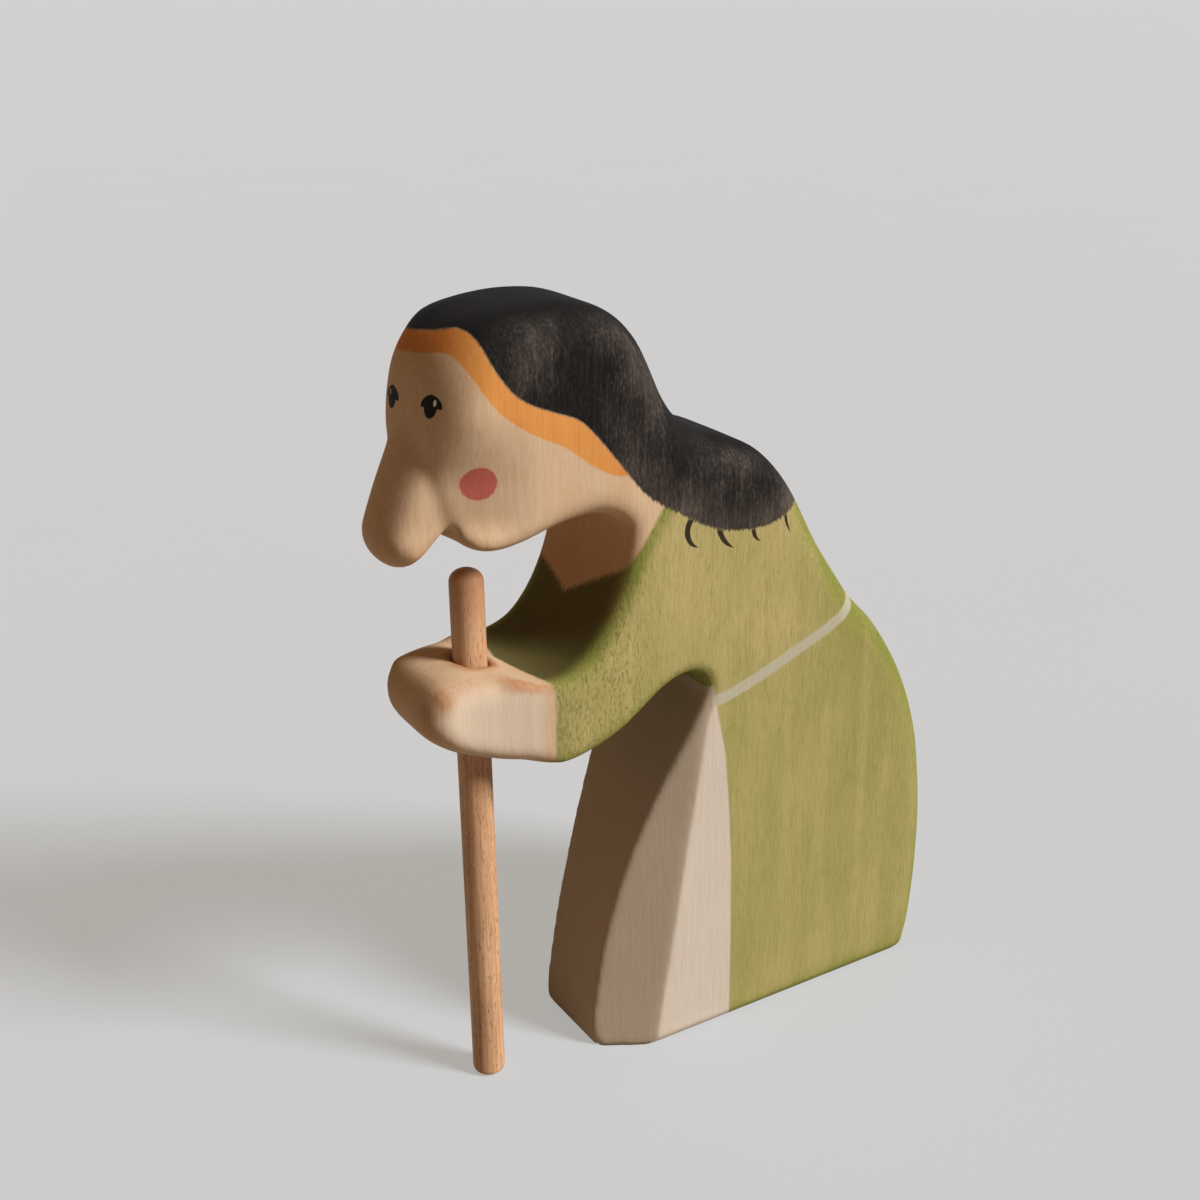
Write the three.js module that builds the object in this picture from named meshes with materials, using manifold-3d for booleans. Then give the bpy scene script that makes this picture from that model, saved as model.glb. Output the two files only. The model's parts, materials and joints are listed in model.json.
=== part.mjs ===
// Wooden witch figure leaning on a walking stick: a small solid toy, sawn from a board and rounded by hand.
// Millimetres, +Z up. The figure looks towards -Y and stands on Z = 0; X runs through the board.
// While modelling, Y = 0 is the axis of the stick. The finished group is then centred over the origin.
import * as THREE from 'three';
import { ConvexGeometry } from 'three/addons/geometries/ConvexGeometry.js';
import { mergeVertices } from 'three/addons/utils/BufferGeometryUtils.js';
import Module from 'manifold-3d';

const wasm = await Module();
wasm.setup();
const { smoothstep, lerp, degToRad } = THREE.MathUtils;

// Heights of the figure
const FIGURE_HEIGHT = 120.3; // table to crown
const HEAD_HEIGHT = 33.1; // chin to crown
const CHIN_TO_HANDS = 17.4; // free height between the chin and the top of the hands
const HAND_HEIGHT = 15.6; // top of the hands to the underside of the forearms

// Lengths of the figure, front to back
const NOSE_OVERHANG = 14; // nose tip in front of the stick
const HAND_OVERHANG = 10.3; // finger tips in front of the stick
const HEAD_LENGTH = 51.8; // nose tip to nape
const STICK_TO_SKIRT = 16.5; // stick to the front hem of the skirt
const SKIRT_LENGTH = 64.8; // front hem to the back
const SKIRT_SWEEP = 17.8; // how far the skirt's front leans back between hem and armpit
const WAIST_DRAW = 14; // how far the back comes in between skirt and waist
const FOOT_TUCK = 2; // how far the back comes in again at the table

// Thickness of the board, and what is carved off each side of it
const BOARD_THICKNESS = 25;
const HEAD_RELIEF = 0.5;
const HAND_RELIEF = 3.75;

// Nose
const NOSE_ROUND = 4.3; // radius of its tip, seen from the side
const NOSE_WIDTH = 14.8;
const BRIDGE_ROUND = 3;
const BRIDGE_WIDTH = 12.2;

// Flats planed on the two front edges of the skirt, for the sides of the apron
const FLAT_WIDTH_ACROSS = 4.9; // taken off the front face at the hem
const FLAT_WIDTH_ALONG = 8.8; // taken off the side at the hem

// Walking stick
const STICK_DIAMETER = 5;
const STICK_ABOVE_HANDS = 13.4;
const STICK_CROWN = 1.9; // height of its domed top
const STICK_FOOT_ROUND = 0.8;
const STICK_OFFSET = 1.5; // hole beside the middle of the board
const STICK_LEAN = degToRad(1.7); // the foot leans away from the middle
const BORE_CLEARANCE = 0.2; // all round the stick

// Rounding of the board's edges: how far it reaches over the side and drops through the thickness
const EDGES = {
  hem: { reach: 1, drop: 1 },
  skirt: { reach: 1.2, drop: 1.2 },
  arm: { reach: 2, drop: 2 },
  hand: { reach: 4.2, drop: 5.8 },
  chest: { reach: 2.4, drop: 2.4 },
  jaw: { reach: 3.6, drop: 4.2 },
  chin: { reach: 2.4, drop: 4.2 },
  cheek: { reach: 2.6, drop: 4.6 },
  brow: { reach: 5.4, drop: 8 },
  face: { reach: 6.5, drop: 9.5 },
  crown: { reach: 6, drop: 7.4 },
  shoulder: { reach: 4.5, drop: 4.5 },
  back: { reach: 4, drop: 3.6 },
};

const ROUNDING_SHARE = 0.8; // most of the wood's own radius that a rounding may take up

// Fineness of the mesh
const OUTLINE_STEP = 1.9;
const FLAT_STEP = 4.6; // where the side is the plain board
const CARVED_STEP = 1.9; // where it is carved thinner
const EDGE_RINGS = 6;
const ROUND_SEGMENTS = 40;
const NOSE_SEGMENTS = 28;
const CUT_MARGIN = 10; // cutters run this far past what they cut
const BORE_MARGIN = 2.5; // the same for the bore, which has to stop under the chin

// Landmarks that follow from the sizes above
const CHIN = FIGURE_HEIGHT - HEAD_HEIGHT;
const HAND_TOP = CHIN - CHIN_TO_HANDS;
const HAND_BOTTOM = HAND_TOP - HAND_HEIGHT;
const NOSE_TIP = -NOSE_OVERHANG;
const SKIRT_FRONT = STICK_TO_SKIRT;
const BACK = SKIRT_FRONT + SKIRT_LENGTH;
const ARMPIT = HAND_BOTTOM + 0.6 * HAND_HEIGHT;
const ARMPIT_BACK = SKIRT_FRONT + SKIRT_SWEEP;
const SKIRT_TOP = ARMPIT - 4; // where the skirt's front turns into the armpit
const WAIST = ARMPIT + 0.6;

// Silhouette of the figure without its nose in (y, z), from the front hem up the front, round the head and
// down the back. Each stretch is drawn between its own landmarks and carries the rounding of its place.
const stretch = (edge, points) => points.map(([y, z]) => ({ y, z, ...EDGES[edge] }));
const skirtFront = (share) => [SKIRT_FRONT + SKIRT_SWEEP * share ** 1.8, share * SKIRT_TOP];
const skirtBack = (share) => {
  const drawnIn = WAIST_DRAW * share ** 3.7 + FOOT_TUCK * (1 - share) ** 8;
  return [BACK - drawnIn, share * WAIST];
};
const arm = (y, share) => [y, HAND_BOTTOM + share * HAND_HEIGHT];
const hand = (along, share) => [-along * HAND_OVERHANG, HAND_BOTTOM + share * HAND_HEIGHT];
const chest = (y, share) => [y, HAND_TOP + share * CHIN_TO_HANDS];
const head = (along, share) => [NOSE_TIP + along * HEAD_LENGTH, CHIN + share * HEAD_HEIGHT];
const shoulder = (fromBack, fromChin) => [BACK - fromBack, CHIN + fromChin];

const SILHOUETTE = [
  ...stretch('hem', [[SKIRT_FRONT + 0.9, 0], [SKIRT_FRONT + 0.1, 0.8]]),
  ...stretch('skirt', [0.2, 0.45, 0.7, 0.9].map(skirtFront)),
  ...stretch('arm', [
    [ARMPIT_BACK - 0.4, ARMPIT - 3], [ARMPIT_BACK - 1.2, ARMPIT - 0.9], [ARMPIT_BACK - 3.8, ARMPIT],
    [ARMPIT_BACK - 7.4, ARMPIT - 1.1], arm(23, 0.36), arm(18.5, 0.17), arm(14, 0.06), arm(9, 0.03),
  ]),
  ...stretch('hand', [
    hand(-0.4, 0.06), hand(0.12, 0.12), hand(0.52, 0.22), hand(0.83, 0.38), hand(0.99, 0.58),
    hand(0.98, 0.77), hand(0.82, 0.92), hand(0.6, 0.985), hand(0.3, 1), hand(0, 0.98),
  ]),
  ...stretch('chest', [
    chest(3.2, -0.06), chest(7.5, -0.12), chest(12, -0.03), chest(16.3, 0.25), chest(19.2, 0.62),
    chest(20, 0.85), head(0.66, 0.035), head(0.63, 0.088),
  ]),
  ...stretch('jaw', [head(0.57, 0.105), head(0.46, 0.08), head(0.36, 0.035), head(0.29, 0.02)]),
  ...stretch('chin', [head(0.24, 0.03), head(0.2, 0.056), head(0.176, 0.105), head(0.17, 0.17)]),
  ...stretch('cheek', [head(0.152, 0.25), head(0.136, 0.33)]),
  ...stretch('brow', [head(0.117, 0.44)]),
  ...stretch('face', [head(0.11, 0.525), head(0.118, 0.63), head(0.136, 0.75), head(0.178, 0.868)]),
  ...stretch('crown', [
    head(0.245, 0.95), head(0.35, 0.99), head(0.46, 1), head(0.575, 0.98), head(0.66, 0.925),
    head(0.724, 0.825), head(0.768, 0.695), head(0.81, 0.56), head(0.865, 0.45), head(0.955, 0.365),
  ]),
  ...stretch('shoulder', [
    shoulder(38.5, 9.2), shoulder(35, 6.3), shoulder(32.2, 3), shoulder(29.6, -1.1), shoulder(26.4, -6.7),
    shoulder(22.6, -12.4), shoulder(18.2, -18.5),
  ]),
  ...stretch('back', [1, 0.86, 0.7, 0.5, 0.28, 0.1].map(skirtBack)),
  ...stretch('hem', [[BACK - FOOT_TUCK + 0.2, 0.9], [BACK - FOOT_TUCK - 0.7, 0]]),
];

// Samples along the silhouette: an even run over the curve, then the straight foot back to the start.
function sampleSilhouette() {
  const curve = new THREE.CatmullRomCurve3(
    SILHOUETTE.map(({ y, z }) => new THREE.Vector3(0, y, z)), false, 'centripetal');
  const samples = [];
  const last = SILHOUETTE.length - 1;
  const addRun = (from, to, pointAt) => {
    const steps = Math.max(1, Math.ceil(Math.hypot(to.y - from.y, to.z - from.z) / OUTLINE_STEP));
    for (let i = 0; i < steps; i += 1) {
      const along = i / steps;
      const point = pointAt(along);
      samples.push({
        y: point.y,
        z: point.z,
        reach: lerp(from.reach, to.reach, along),
        drop: lerp(from.drop, to.drop, along),
      });
    }
  };
  for (let i = 0; i < last; i += 1) {
    addRun(SILHOUETTE[i], SILHOUETTE[i + 1], (along) => curve.getPoint((i + along) / last));
  }
  const foot = SILHOUETTE[last];
  addRun(foot, SILHOUETTE[0], (along) => ({ y: lerp(foot.y, SILHOUETTE[0].y, along), z: 0 }));
  return samples;
}

// Unit normals of the silhouette, pointing into the wood. The samples run clockwise seen from +X.
function inwardNormals(samples) {
  const count = samples.length;
  return samples.map((sample, i) => {
    const before = samples[(i + count - 1) % count];
    const after = samples[(i + 1) % count];
    return new THREE.Vector2(after.z - before.z, before.y - after.y).normalize();
  });
}

// Radius of the largest circle in the wood that touches the silhouette at one sample.
function inscribedRadius(samples, normals, i) {
  const { y, z } = samples[i];
  return samples.reduce((least, other) => {
    const along = new THREE.Vector2(other.y - y, other.z - z);
    const depth = along.dot(normals[i]);
    return depth > 0 ? Math.min(least, along.lengthSq() / (2 * depth)) : least;
  }, Infinity);
}

// How much is carved off a side at (y, z): the hands thin out forward from the wrist, and the head is a
// little thinner than the board.
function relief(y, z) {
  if (z < (CHIN + HAND_TOP) / 2) {
    return lerp(HAND_RELIEF, 0, smoothstep(y, -HAND_OVERHANG * 0.6, STICK_DIAMETER * 2.2));
  }
  return lerp(HEAD_RELIEF, 0, smoothstep((y - NOSE_TIP) / HEAD_LENGTH, 0.45, 0.62));
}

// Delaunay triangles over plane points [u, v], by adding the points one at a time.
function delaunay(points) {
  const span = 1e4;
  const corners = [[-span, -span], [span, -span], [0, span]];
  const all = [...points, ...corners];
  const withCircle = (a, b, c) => {
    const [ax, ay] = all[a];
    const [bx, by] = [all[b][0] - ax, all[b][1] - ay];
    const [cx, cy] = [all[c][0] - ax, all[c][1] - ay];
    const scale = 2 * (bx * cy - by * cx);
    const ux = (cy * (bx * bx + by * by) - by * (cx * cx + cy * cy)) / scale;
    const uy = (bx * (cx * cx + cy * cy) - cx * (bx * bx + by * by)) / scale;
    return { a, b, c, u: ax + ux, v: ay + uy, squared: ux * ux + uy * uy };
  };
  let triangles = [withCircle(points.length, points.length + 1, points.length + 2)];
  points.forEach(([u, v], index) => {
    const rim = new Map();
    const toggle = (from, to) => {
      if (!rim.delete(`${to},${from}`)) rim.set(`${from},${to}`, [from, to]);
    };
    triangles = triangles.filter((triangle) => {
      if ((u - triangle.u) ** 2 + (v - triangle.v) ** 2 >= triangle.squared) return true;
      toggle(triangle.a, triangle.b);
      toggle(triangle.b, triangle.c);
      toggle(triangle.c, triangle.a);
      return false;
    });
    rim.forEach(([from, to]) => triangles.push(withCircle(from, to, index)));
  });
  return triangles
    .map(({ a, b, c }) => [a, b, c])
    .filter((triangle) => Math.max(...triangle) < points.length);
}

function isInside(polygon, u, v) {
  let inside = false;
  polygon.forEach(([u1, v1], i) => {
    const [u2, v2] = polygon[(i + 1) % polygon.length];
    if ((v1 > v) !== (v2 > v) && u < u1 + ((v - v1) * (u2 - u1)) / (v2 - v1)) inside = !inside;
  });
  return inside;
}

// Staggered grid of points inside a polygon, where the test says so. They keep off the rim, and out of the
// circle over each of its edges, so that every rim edge is an edge of a triangle.
function gridInside(polygon, step, belongs) {
  const us = polygon.map(([u]) => u);
  const vs = polygon.map(([, v]) => v);
  const rise = step * Math.sqrt(0.75);
  const grid = [];
  for (let row = 0, v = Math.min(...vs); v < Math.max(...vs); v += rise, row += 1) {
    for (let u = Math.min(...us) + (row % 2) * step * 0.5; u < Math.max(...us); u += step) {
      const clear = polygon.every(([au, av], i) => {
        const [bu, bv] = polygon[(i + 1) % polygon.length];
        const outsideCircle = (u - au) * (u - bu) + (v - av) * (v - bv) > 0;
        return outsideCircle && Math.hypot(au - u, av - v) > 0.6 * step;
      });
      if (clear && belongs(u, v) && isInside(polygon, u, v)) grid.push([u, v]);
    }
  }
  return grid;
}

// The carved board: both sides are the same relief, rounded over the edge into a wall along the silhouette.
function carvedBoard() {
  const halfThickness = (y, z) => BOARD_THICKNESS / 2 - relief(y, z);
  const isCarved = (y, z) => relief(y, z) > 0.05;
  const isPlain = (y, z) => !isCarved(y, z);
  const samples = sampleSilhouette();
  const normals = inwardNormals(samples);
  const reaches = samples.map(({ reach }, i) => (
    Math.min(reach, ROUNDING_SHARE * inscribedRadius(samples, normals, i))
  ));
  const count = samples.length;
  const side = []; // [half thickness, y, z] of one side
  for (let ring = 0; ring <= EDGE_RINGS; ring += 1) {
    const angle = (ring / EDGE_RINGS) * Math.PI * 0.5;
    samples.forEach(({ y, z, reach, drop }, i) => {
      const inset = reaches[i] * (1 - Math.cos(angle));
      const ringY = y + normals[i].x * inset;
      const ringZ = z + normals[i].y * inset;
      const fall = drop * Math.sqrt(reaches[i] / reach) * (1 - Math.sin(angle));
      side.push([halfThickness(ringY, ringZ) - fall, ringY, ringZ]);
    });
  }
  const rim = side.slice(-count).map(([, y, z]) => [y, z]);
  const grid = [...gridInside(rim, FLAT_STEP, isPlain), ...gridInside(rim, CARVED_STEP, isCarved)];
  const firstInner = side.length - count;
  grid.forEach(([y, z]) => side.push([halfThickness(y, z), y, z]));

  const faces = delaunay([...rim, ...grid])
    .filter(([a, b, c]) => {
      const at = (axis) => [a, b, c].reduce((sum, i) => sum + side[firstInner + i][axis], 0) / 3;
      return isInside(rim, at(1), at(2));
    })
    .map((triangle) => triangle.map((i) => firstInner + i));
  const addQuad = (a, b, c, d) => faces.push([a, b, c], [a, c, d]);
  for (let ring = 0; ring < EDGE_RINGS; ring += 1) {
    for (let i = 0; i < count; i += 1) {
      const next = (i + 1) % count;
      const outer = ring * count;
      const inner = outer + count;
      addQuad(outer + next, outer + i, inner + i, inner + next);
    }
  }
  const far = side.length;
  const mirrored = faces.map(([a, b, c]) => [far + a, far + c, far + b]);
  for (let i = 0; i < count; i += 1) {
    const next = (i + 1) % count;
    addQuad(i, next, far + next, far + i);
  }
  const geometry = new THREE.BufferGeometry();
  const positions = [...side, ...side.map(([x, y, z]) => [-x, y, z])];
  geometry.setAttribute('position', new THREE.Float32BufferAttribute(positions.flat(), 3));
  geometry.setIndex([...faces, ...mirrored].flat());
  return geometry;
}

// The nose: the smooth skin over four balls drawn out across the board. The tip hangs in front of the face;
// the other three lie in the head, behind the nostrils, under the bridge and at the brow.
function nose() {
  const balls = [
    { middle: [NOSE_TIP + NOSE_ROUND, CHIN + 0.09 * HEAD_HEIGHT], round: NOSE_ROUND, width: NOSE_WIDTH },
    { middle: head(0.205, 0.18), round: BRIDGE_ROUND, width: NOSE_WIDTH },
    { middle: head(0.2, 0.36), round: BRIDGE_ROUND, width: (NOSE_WIDTH + BRIDGE_WIDTH) / 2 },
    { middle: head(0.156, 0.459), round: BRIDGE_ROUND, width: BRIDGE_WIDTH },
  ];
  const skin = balls.flatMap(({ middle: [y, z], round, width }) => {
    const ball = new THREE.SphereGeometry(1, NOSE_SEGMENTS, NOSE_SEGMENTS / 2);
    ball.rotateZ(Math.PI / 2).scale(width / 2, round, round).translate(0, y, z);
    const { position } = ball.attributes;
    const at = (_, i) => new THREE.Vector3().fromBufferAttribute(position, i);
    return Array.from({ length: position.count }, at);
  });
  return new ConvexGeometry(skin);
}

// Closed geometry to solid, and back.
function toSolid(geometry) {
  const bare = geometry.clone();
  bare.deleteAttribute('normal');
  bare.deleteAttribute('uv');
  const merged = mergeVertices(bare, 1e-5);
  return new wasm.Manifold(new wasm.Mesh({
    numProp: 3,
    vertProperties: new Float32Array(merged.attributes.position.array),
    triVerts: new Uint32Array(merged.index.array),
  }));
}

function toGeometry(solid) {
  const mesh = solid.getMesh();
  const geometry = new THREE.BufferGeometry();
  geometry.setAttribute('position', new THREE.Float32BufferAttribute(mesh.vertProperties, 3));
  geometry.setIndex(new THREE.BufferAttribute(mesh.triVerts, 1));
  geometry.computeVertexNormals();
  return geometry;
}

// Block whose inner face is the planed flat on one front edge of the skirt. Side is +1 or -1.
function flatCutter(side) {
  const hem = new THREE.Vector3((side * BOARD_THICKNESS) / 2, SKIRT_FRONT + FLAT_WIDTH_ALONG, 0);
  const upward = new THREE.Vector3(0, ARMPIT_BACK - hem.y, SKIRT_TOP).normalize();
  const across = new THREE.Vector3(side * FLAT_WIDTH_ACROSS, FLAT_WIDTH_ALONG, 0).normalize();
  const outward = new THREE.Vector3().crossVectors(across, upward).normalize().multiplyScalar(side);
  const level = new THREE.Vector3().crossVectors(outward, upward);
  const block = new THREE.BoxGeometry(BOARD_THICKNESS + CUT_MARGIN, CUT_MARGIN, 3 * ARMPIT);
  const placed = new THREE.Matrix4().makeBasis(level, outward, upward);
  placed.setPosition(hem.addScaledVector(outward, CUT_MARGIN / 2));
  return toSolid(block.applyMatrix4(placed));
}

// Everything in front of and below the armpit, clear of the forearms: where the flats are planed.
function underArms() {
  const room = new THREE.Shape([
    new THREE.Vector2(BACK, -CUT_MARGIN),
    new THREE.Vector2(BACK, ARMPIT - 1),
    new THREE.Vector2(ARMPIT_BACK - 3.8, ARMPIT - 1),
    new THREE.Vector2(-HAND_OVERHANG, HAND_BOTTOM - CUT_MARGIN),
    new THREE.Vector2(-HAND_OVERHANG, -CUT_MARGIN),
  ]);
  const depth = 2 * BOARD_THICKNESS;
  const prism = new THREE.ExtrudeGeometry(room, { depth, bevelEnabled: false });
  prism.translate(0, 0, -depth / 2).rotateX(Math.PI / 2).rotateZ(Math.PI / 2);
  return toSolid(prism);
}

// Frame of the stick: its foot on the table, leaning so that it meets the hands at its offset.
function stickFrame() {
  const frame = new THREE.Object3D();
  const handMiddle = HAND_BOTTOM + HAND_HEIGHT / 2;
  frame.position.set(STICK_OFFSET + handMiddle * Math.tan(STICK_LEAN), 0, 0);
  frame.rotation.y = -STICK_LEAN;
  frame.updateMatrix();
  return frame;
}

function walkingStick() {
  const radius = STICK_DIAMETER / 2;
  const foot = radius * Math.sin(STICK_LEAN); // lifts the leaning stick clear of the table
  const top = (HAND_TOP + STICK_ABOVE_HANDS) / Math.cos(STICK_LEAN);
  const profile = new THREE.Path();
  profile.moveTo(0, foot);
  profile.lineTo(radius - STICK_FOOT_ROUND, foot);
  profile.absarc(radius - STICK_FOOT_ROUND, foot + STICK_FOOT_ROUND, STICK_FOOT_ROUND, -Math.PI / 2, 0);
  profile.lineTo(radius, top - STICK_CROWN);
  profile.absellipse(0, top - STICK_CROWN, radius, STICK_CROWN, 0, Math.PI / 2);
  const points = profile.getPoints(6);
  points[points.length - 1].x = 0;
  const geometry = new THREE.LatheGeometry(points, ROUND_SEGMENTS);
  return geometry.rotateX(Math.PI / 2);
}

function boreCutter(frame) {
  const radius = STICK_DIAMETER / 2 + BORE_CLEARANCE;
  const length = HAND_HEIGHT + 2 * BORE_MARGIN;
  const bore = new THREE.CylinderGeometry(radius, radius, length, ROUND_SEGMENTS);
  bore.rotateX(Math.PI / 2).translate(0, 0, HAND_BOTTOM + HAND_HEIGHT / 2);
  return toSolid(bore.applyMatrix4(frame.matrix));
}

const stick = stickFrame();
const carved = toSolid(carvedBoard())
  .add(toSolid(nose()))
  .subtract(flatCutter(1).intersect(underArms()))
  .subtract(flatCutter(-1).intersect(underArms()))
  .subtract(boreCutter(stick));

const limewood = new THREE.MeshStandardMaterial({ color: 0xa5a25a, roughness: 0.75, metalness: 0 });
const beech = new THREE.MeshStandardMaterial({ color: 0xa8795a, roughness: 0.6, metalness: 0 });

const figure = new THREE.Mesh(toGeometry(carved), limewood);
figure.name = 'figure';
const walking = new THREE.Mesh(walkingStick(), beech);
walking.name = 'walking_stick';
stick.add(walking);

const witch = new THREE.Group();
witch.add(figure, stick);
const box = new THREE.Box3().setFromObject(figure);
witch.position.y = -(box.min.y + box.max.y) / 2;

export default witch;
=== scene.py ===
"""Hand-painted wooden witch that leans on a beech walking stick."""

import json
import math

import bpy
import numpy as np
from mathutils import Matrix, Vector


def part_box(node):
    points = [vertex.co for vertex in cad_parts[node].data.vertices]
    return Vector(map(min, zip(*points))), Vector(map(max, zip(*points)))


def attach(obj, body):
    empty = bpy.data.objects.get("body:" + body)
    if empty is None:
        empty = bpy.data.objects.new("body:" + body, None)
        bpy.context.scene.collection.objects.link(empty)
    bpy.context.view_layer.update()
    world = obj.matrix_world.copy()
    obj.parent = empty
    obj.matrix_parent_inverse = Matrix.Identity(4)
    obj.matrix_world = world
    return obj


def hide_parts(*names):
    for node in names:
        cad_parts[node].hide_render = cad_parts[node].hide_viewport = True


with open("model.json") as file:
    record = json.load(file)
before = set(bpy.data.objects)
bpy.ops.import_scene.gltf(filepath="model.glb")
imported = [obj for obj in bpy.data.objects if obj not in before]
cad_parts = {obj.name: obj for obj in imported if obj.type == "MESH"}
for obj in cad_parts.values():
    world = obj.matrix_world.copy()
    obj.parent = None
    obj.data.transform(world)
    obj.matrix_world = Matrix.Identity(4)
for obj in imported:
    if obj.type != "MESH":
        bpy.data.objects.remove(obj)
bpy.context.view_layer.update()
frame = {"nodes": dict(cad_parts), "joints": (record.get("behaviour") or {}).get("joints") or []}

bl_info = {
    "name": "Painted wooden witch",
    "version": (1, 0, 0),
    "blender": (4, 5, 0),
    "location": "3D View > Sidebar > Witch",
    "description": "Sands and paints a small wooden witch with a walking stick, and sets it on a table",
    "category": "Object",
}

MM = 0.001

# Places on the figure are in millimetres: x towards the near side, y towards the back, z up from the table.

# Painted lines on the side of the figure, as (y, z) corners from the brow to the back.
KERCHIEF_EDGE = [
    (-46, 117.2), (-37.4, 117.4), (-36.2, 117.8), (-35.4, 117.8), (-35, 117.1), (-34.6, 115.3), (-34, 113.7),
    (-33, 112), (-31.2, 109.7), (-28.7, 108.1), (-26.1, 107), (-23.5, 106), (-21.9, 105.4), (-20.3, 104.1),
    (-18.3, 101.8), (-16.3, 99.3), (-13.7, 96.1), (-12.1, 94), (-10, 92.1), (-5.9, 89.6), (-2.1, 87.3),
    (1.7, 85.5), (6.5, 84.7), (10.4, 84.8), (13, 85.6), (16, 87.2), (28, 89),
]
BAND_EDGE = [
    (-46, 114.4), (-39.2, 114.8), (-38, 115.1), (-37.5, 114.6), (-36.9, 113.3), (-36.3, 112), (-35.2, 110),
    (-33.5, 107.8), (-31.3, 106), (-28.8, 104.3), (-26.2, 103), (-23.9, 101.9), (-21.9, 100.4),
    (-19.6, 98.5), (-17.3, 97.2), (-15.6, 96.5), (-10, 96), (28, 96),
]
STRING_LINE = [
    (2.2, 58.5), (5.1, 59.1), (9, 60.3), (13, 61.8), (17.1, 63.5), (22.2, 65.4), (25.8, 67.3), (28.5, 69.4),
    (32, 72.4),
]

# On the brow both edges sink towards the far side, by this slope from x = BROW_NEAR on and over BROW_WIDTH.
# The slope sets in forwards of BROW_BACK, over BROW_RAMP.
BROW_SLOPE = 0.14
BROW_NEAR = 5
BROW_WIDTH = 12
BROW_BACK = -29
BROW_RAMP = 8

# The apron's edge, as (z, y) from the table up to the armpit, and its highest point.
APRON_EDGE = [
    (-2, 6.4), (1.2, 6.3), (15, 6.1), (30.7, 5.6), (40.5, 4.8), (49.7, 3.7), (56.4, 2.2), (61, 1.5),
]
APRON_TOP = 60.8

# The underside of the arm: a point (y, z), its slope, and what turns a height over it into a distance.
ARM_UNDERSIDE = (-12, 50)
ARM_SLOPE = 13 / 10.5
ARM_SQUARE = 0.63

# The neckline's lowest point, its slopes towards the near side, the far side and the back, and what turns a
# height over it into a distance.
NECKLINE_LOW = (-1.4, -13.4, 75.5)
NECKLINE_SLOPES = (0.55, 0.3, 1.5)
NECKLINE_SQUARE = 0.8

# Where the sleeves end at the sides of the arms, and how that line leans forwards towards the middle.
CUFF_Y = -25.7
CUFF_LEAN = 0.28
ARM_HALF_WIDTH = 12

# The line between the eyes, how far they lean across the face, and the middle (y, z) of each cheek's dot.
EYES_MIDDLE = 1.25
EYES_LEAN = 0.05
CHEEK_PLACE = (-35.4, 98)

# Half sizes, across and up, of an eye's dark, its lash and its spark, and the spark's place in the eye.
EYE_DARK = (1.16, 1.62)
EYE_LASH = (1.88, 1.62)
EYE_SPARK = (0.28, 0.5)
SPARK_PLACE = (0.66, 0.5)

# How far the far eye is moved inwards, widened and lowered, and how much of its spark is lost.
FAR_SHIFT = 0.25
FAR_WIDENING = 0.3
FAR_DROP = 0.3
FAR_LOSS = 0.5

# Strokes of the fringe: the arc's centre y and z, radius, first and last angle, and half width at the root.
FRINGE = [
    (-1.4, 86.4, 2.75, -48, 76, 0.52), (6.3, 87, 5, 0, 66, 0.48),
    (10.1, 84.8, 2.5, -20, 64, 0.4), (19.9, 86.5, 6.5, -4, 34, 0.3),
]

# Half the width of the lower face, as (y, half width) from the nose's tip back to the ears, the softness of
# the edge that this paring leaves, and the heights over which it sets in and fades out.
FACE_TAPER = [
    (-50, 5.2), (-46, 5.8), (-43, 6.5), (-40.5, 7.1), (-38, 8.2), (-34, 9.9), (-30, 11.5), (-26, 13),
    (-20, 16),
]
FACE_SOFTNESS = 0.8
FACE_START, FACE_END = (88, 93), (97, 108)

# Underside of the nose, as (y, z) from its tip back to the notch over the chin, the heights between which
# that counts, how far the tip is brought down, and the tip's reach forwards and upwards.
NOSE_UNDERSIDE = [
    (-50, 80), (-44.5, 85), (-43, 87.1), (-41.5, 88.8), (-40, 90.4), (-38.1, 92.7), (-37.9, 80),
]
NOSE_LOW, NOSE_HIGH = 82, 94
NOSE_DROP = 0.7
TIP_FORWARDS, TIP_UPWARDS = (40.5, 45), (88, 97)

# How far the skirt's lower back corner is taken in, and its reach upwards and backwards.
HEEL_ROUNDING = 1.8
HEEL_UPWARDS, HEEL_BACKWARDS = (0, 7), (37, 47)

# How strongly the sides of the hands are squared up, where the hands begin and end, and the slices, each a
# millimetre thick, that they are measured in.
HAND_SQUARING = 0.9
HANDS_FORWARDS, HANDS_BOTTOM, HANDS_TOP = (19, 25), (46, 52), (73, 78)
HAND_SLICES = np.arange(61)

# Loose faces are joined within this distance, and points lower than FOOT_FLAT are pressed on to the table.
JOINT_GAP = 0.002
FOOT_FLAT = 0.35

# Share of the way to its neighbours that one sanding pass moves a point, and how many steps the weights in a
# point group have.
SANDING = 0.5
WEIGHT_STEPS = 20

# Sanding sets in above the foot, whose outline gets so many times more passes. Above a line that rises
# towards the back the wood is sanded rounder, with this share of that left out on the hands.
FOOT_RANGE, FOOT_PASSES = (0.3, 3), 3
UPPER_RANGE, UPPER_LEAN = (44, 58), 0.4
CRISP_FORWARDS, CRISP_TOP, CRISPNESS = (21, 25), (72, 76), 0.75

# Rounds of averaging for how the wood faces forwards, how it turns away from the sides, what lies round a
# ridge and the ridges themselves.
FRONT_ROUNDS = 4
RIM_ROUNDS = 70
AROUND_ROUNDS = 12
RIDGE_ROUNDS = 4

# Light from a window: the side it comes from, its spread in radians, its strength and its colour.
WINDOW_FROM = (0.7, 0.55, 0.7)
WINDOW_SPREAD = 0.28
WINDOW_STRENGTH = 4.25
WINDOW_COLOUR = (1, 0.985, 0.965)

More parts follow.
